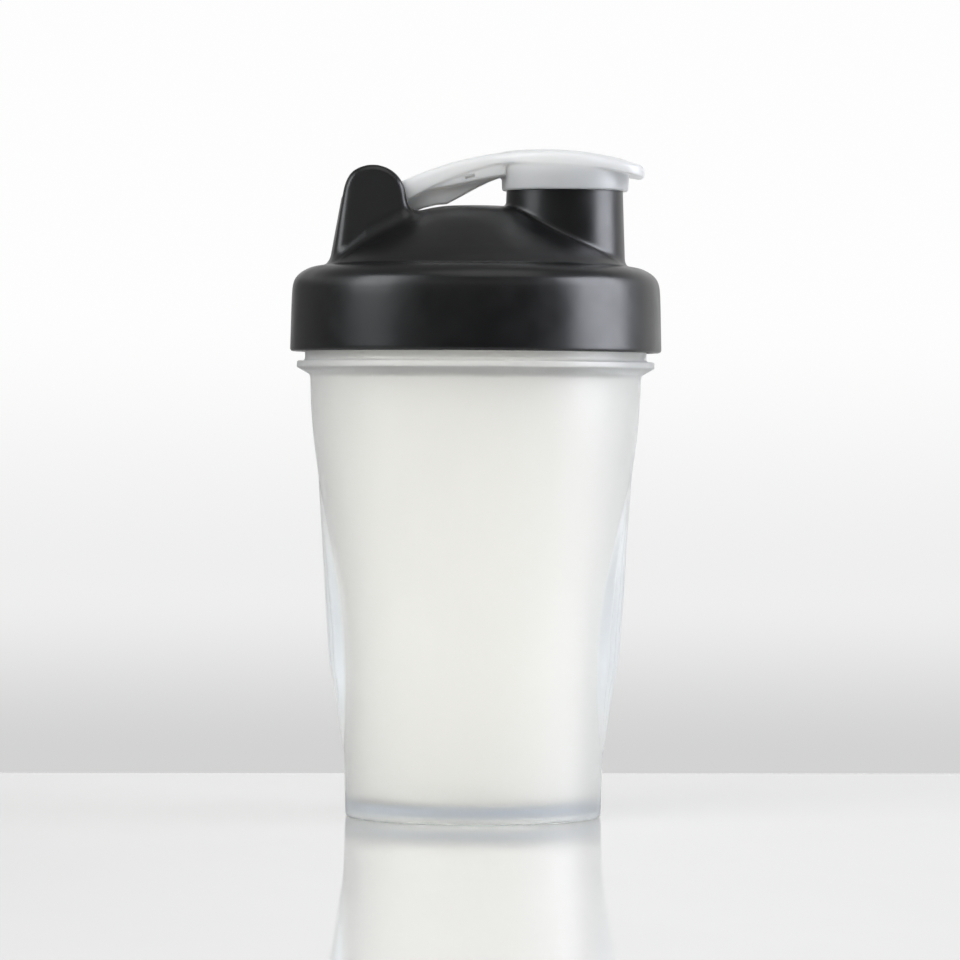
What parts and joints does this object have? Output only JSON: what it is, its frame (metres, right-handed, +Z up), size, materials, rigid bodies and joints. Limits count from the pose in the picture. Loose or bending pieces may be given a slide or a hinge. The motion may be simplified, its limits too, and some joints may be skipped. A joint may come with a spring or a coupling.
{
  "type": "protein shaker bottle",
  "caption": "Shaker bottle: frosted cup with ribbed side grips, black screw lid with pouring spout and hinge tower, white flip cap, seals and an inner mixing grid.",
  "frame": {"origin": "centre of the foot ring, on the surface that the bottle stands on", "axes": "+Z up along the axis of the cup, +X towards the spout, -X towards the hinge of the flip cap"},
  "size_m": [0.092, 0.092, 0.1651],
  "materials": {
    "cup_plastic": "frosted translucent moulded polypropylene",
    "lid_plastic": "satin black moulded polypropylene",
    "cap_plastic": "semi-gloss white moulded polypropylene",
    "silicone": "soft translucent silicone",
    "grid_plastic": "white moulded polypropylene"
  },
  "bodies": {
    "cup": {"cup": "cup_plastic"},
    "seal_ring": {"lid_seal_ring": "silicone"},
    "lid": {"lid": "lid_plastic", "mixing_grid": "grid_plastic"},
    "flip_cap": {"flip_cap": "cap_plastic", "spout_seal": "silicone"}
  },
  "joints": [
    {"name": "lid_rise", "type": "slide", "parent": "cup", "child": "seal_ring", "axis": [0, 0, 1], "range_m": [0, 0.0226]},
    {"name": "lid_turn", "type": "hinge", "parent": "seal_ring", "child": "lid", "pos_m": [0, 0, 0.118], "axis": [0, 0, 1], "range_deg": [0, 1620]},
    {"name": "flip_hinge", "type": "hinge", "parent": "lid", "child": "flip_cap", "pos_m": [-0.0256, 0, 0.1529], "axis": [0, -1, 0], "range_deg": [0, 140]}
  ],
  "couplings": [
    {"joint": "lid_rise", "follows": "lid_turn", "m_per_rad": 0.00079577}
  ]
}
